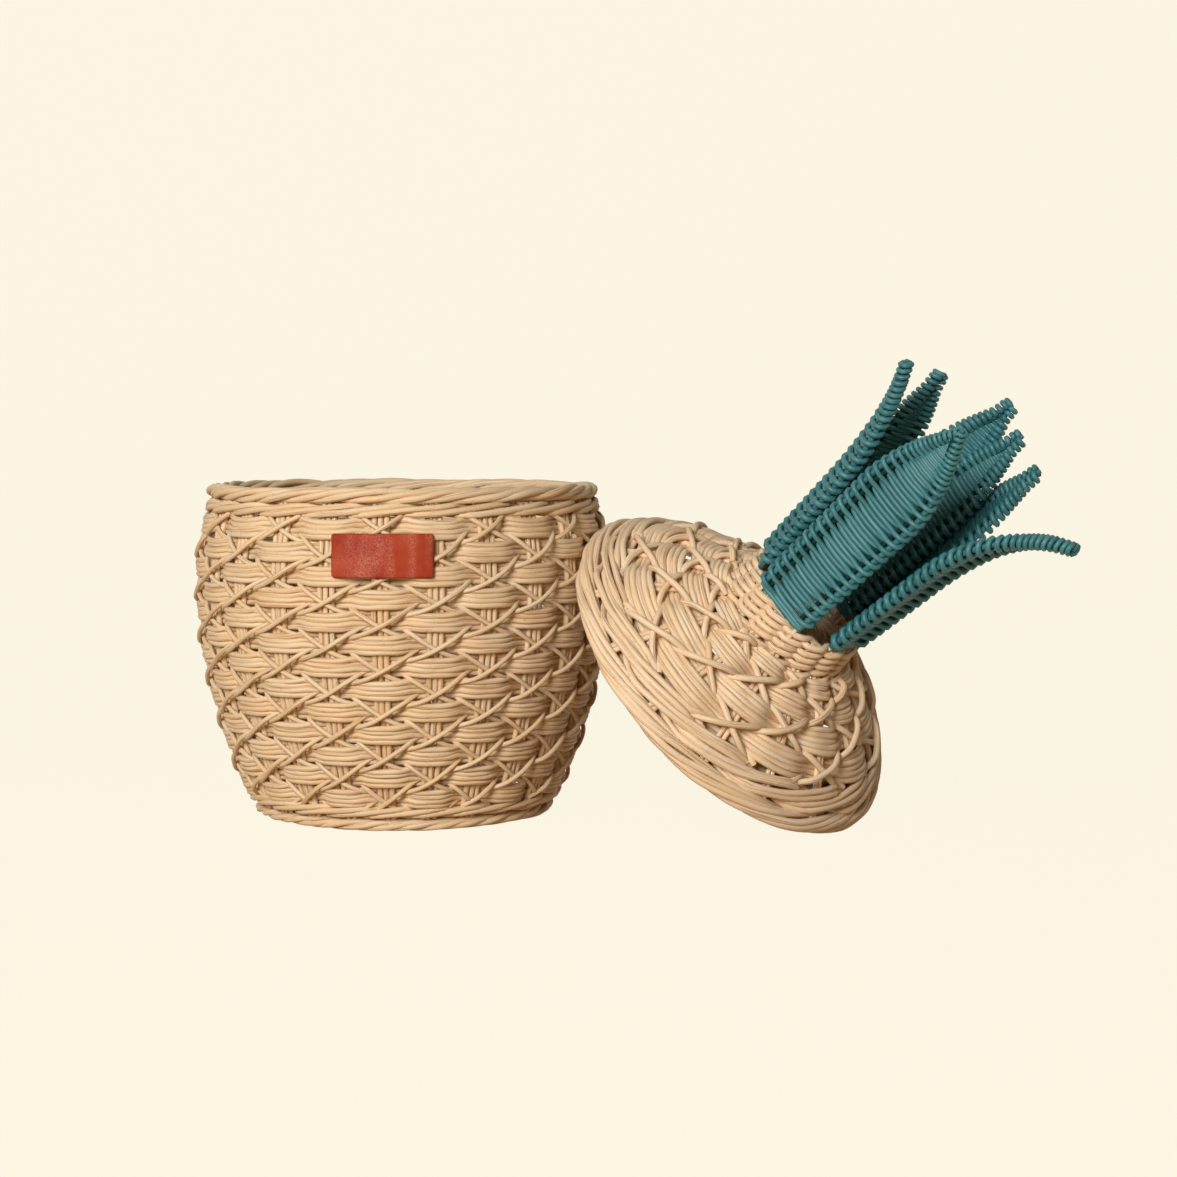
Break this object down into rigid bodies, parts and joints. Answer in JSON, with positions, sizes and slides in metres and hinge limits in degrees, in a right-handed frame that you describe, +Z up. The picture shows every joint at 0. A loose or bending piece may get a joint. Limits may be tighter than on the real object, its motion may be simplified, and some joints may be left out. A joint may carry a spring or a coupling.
{
  "type": "lidded pineapple basket",
  "caption": "Round woven cane basket shaped like a pineapple, its domed lid with a crown of wound teal leaves standing beside it.",
  "frame": {"origin": "centre of the basket's base, on the floor it stands on", "axes": "+Z up out of the basket's mouth, +X along the longest extent, towards the lid that leans on the basket, and -Y towards the front with the leather tag"},
  "size_m": [0.6037, 0.3817, 0.3284],
  "materials": {
    "cane": "natural peeled rattan cane, satin",
    "lid_cane": "natural peeled rattan cane, satin, a little paler",
    "teal_cane": "cane dyed teal green, satin",
    "leather": "rust brown leather, smooth, bare"
  },
  "bodies": {
    "basket": {"base_disc": "cane", "foot_border": "cane", "foot_wale": "cane", "stake_1": "cane", "stake_2": "cane", "stake_3": "cane", "stake_4": "cane", "stake_5": "cane", "stake_6": "cane", "stake_7": "cane", "stake_8": "cane", "stake_9": "cane", "stake_10": "cane", "stake_11": "cane", "stake_12": "cane", "stake_13": "cane", "stake_14": "cane", "stake_15": "cane", "stake_16": "cane", "stake_17": "cane", "stake_18": "cane", "stake_19": "cane", "stake_20": "cane", "stake_21": "cane", "stake_22": "cane", "stake_23": "cane", "stake_24": "cane", "weave_row_1": "cane", "weave_row_2": "cane", "weave_row_3": "cane", "weave_row_4": "cane", "weave_row_5": "cane", "weave_row_6": "cane", "weave_row_7": "cane", "weave_row_8": "cane", "weave_row_9": "cane", "weave_row_10": "cane", "weave_row_11": "cane", "weave_row_12": "cane", "weave_row_13": "cane", "rim_wale": "cane", "rim_border": "cane", "leather_tag": "leather"},
    "lid": {"lid_rim": "lid_cane", "lid_dome": "lid_cane", "lid_collar": "lid_cane", "leaf_1_frame": "teal_cane", "leaf_1_wrap": "teal_cane", "leaf_2_frame": "teal_cane", "leaf_2_wrap": "teal_cane", "leaf_3_frame": "teal_cane", "leaf_3_wrap": "teal_cane", "leaf_4_frame": "teal_cane", "leaf_4_wrap": "teal_cane", "leaf_5_frame": "teal_cane", "leaf_5_wrap": "teal_cane", "leaf_6_frame": "teal_cane", "leaf_6_wrap": "teal_cane", "leaf_7_frame": "teal_cane", "leaf_7_wrap": "teal_cane"}
  },
  "joints": [
    {"name": "lid_lift", "type": "slide", "parent": "basket", "child": "lid", "axis": [0.6091, -0.459, 0.6468], "range_m": [0, 0.2]}
  ]
}
